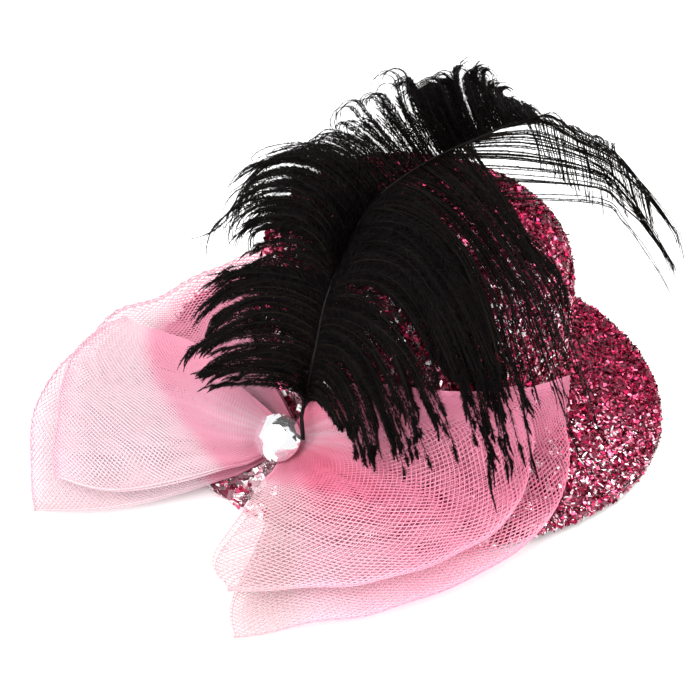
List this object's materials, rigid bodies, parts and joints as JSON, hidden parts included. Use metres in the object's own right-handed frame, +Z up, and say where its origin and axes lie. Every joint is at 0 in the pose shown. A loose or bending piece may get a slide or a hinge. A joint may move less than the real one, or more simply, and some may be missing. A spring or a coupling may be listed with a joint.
{
  "type": "mini hat hair clip",
  "caption": "Small oval hat with a glittered crown and brim, layered net bows pinched under a cut stone, an arching plume and a spring clip inside the rim.",
  "frame": {"origin": "under the middle of the whole part's box, on the surface that the brim rests on", "axes": "+X along the brim's long axis, to the wearer's side away from the bows; +Z up through the crown"},
  "size_m": [0.1628, 0.1588, 0.0852],
  "materials": {
    "glitter": "crushed glitter flakes on moulded felt",
    "lower_net": "open stiff net",
    "upper_net": "open stiff net",
    "cut_glass": "faceted, with a silvered back",
    "plume": "soft feather barbs",
    "clip_steel": "plain"
  },
  "bodies": {
    "root": {"hat_shell": "glitter", "lower_bow": "lower_net", "upper_bow": "upper_net", "rhinestone": "cut_glass", "feather": "plume", "hair_clip": "clip_steel"}
  },
  "joints": []
}
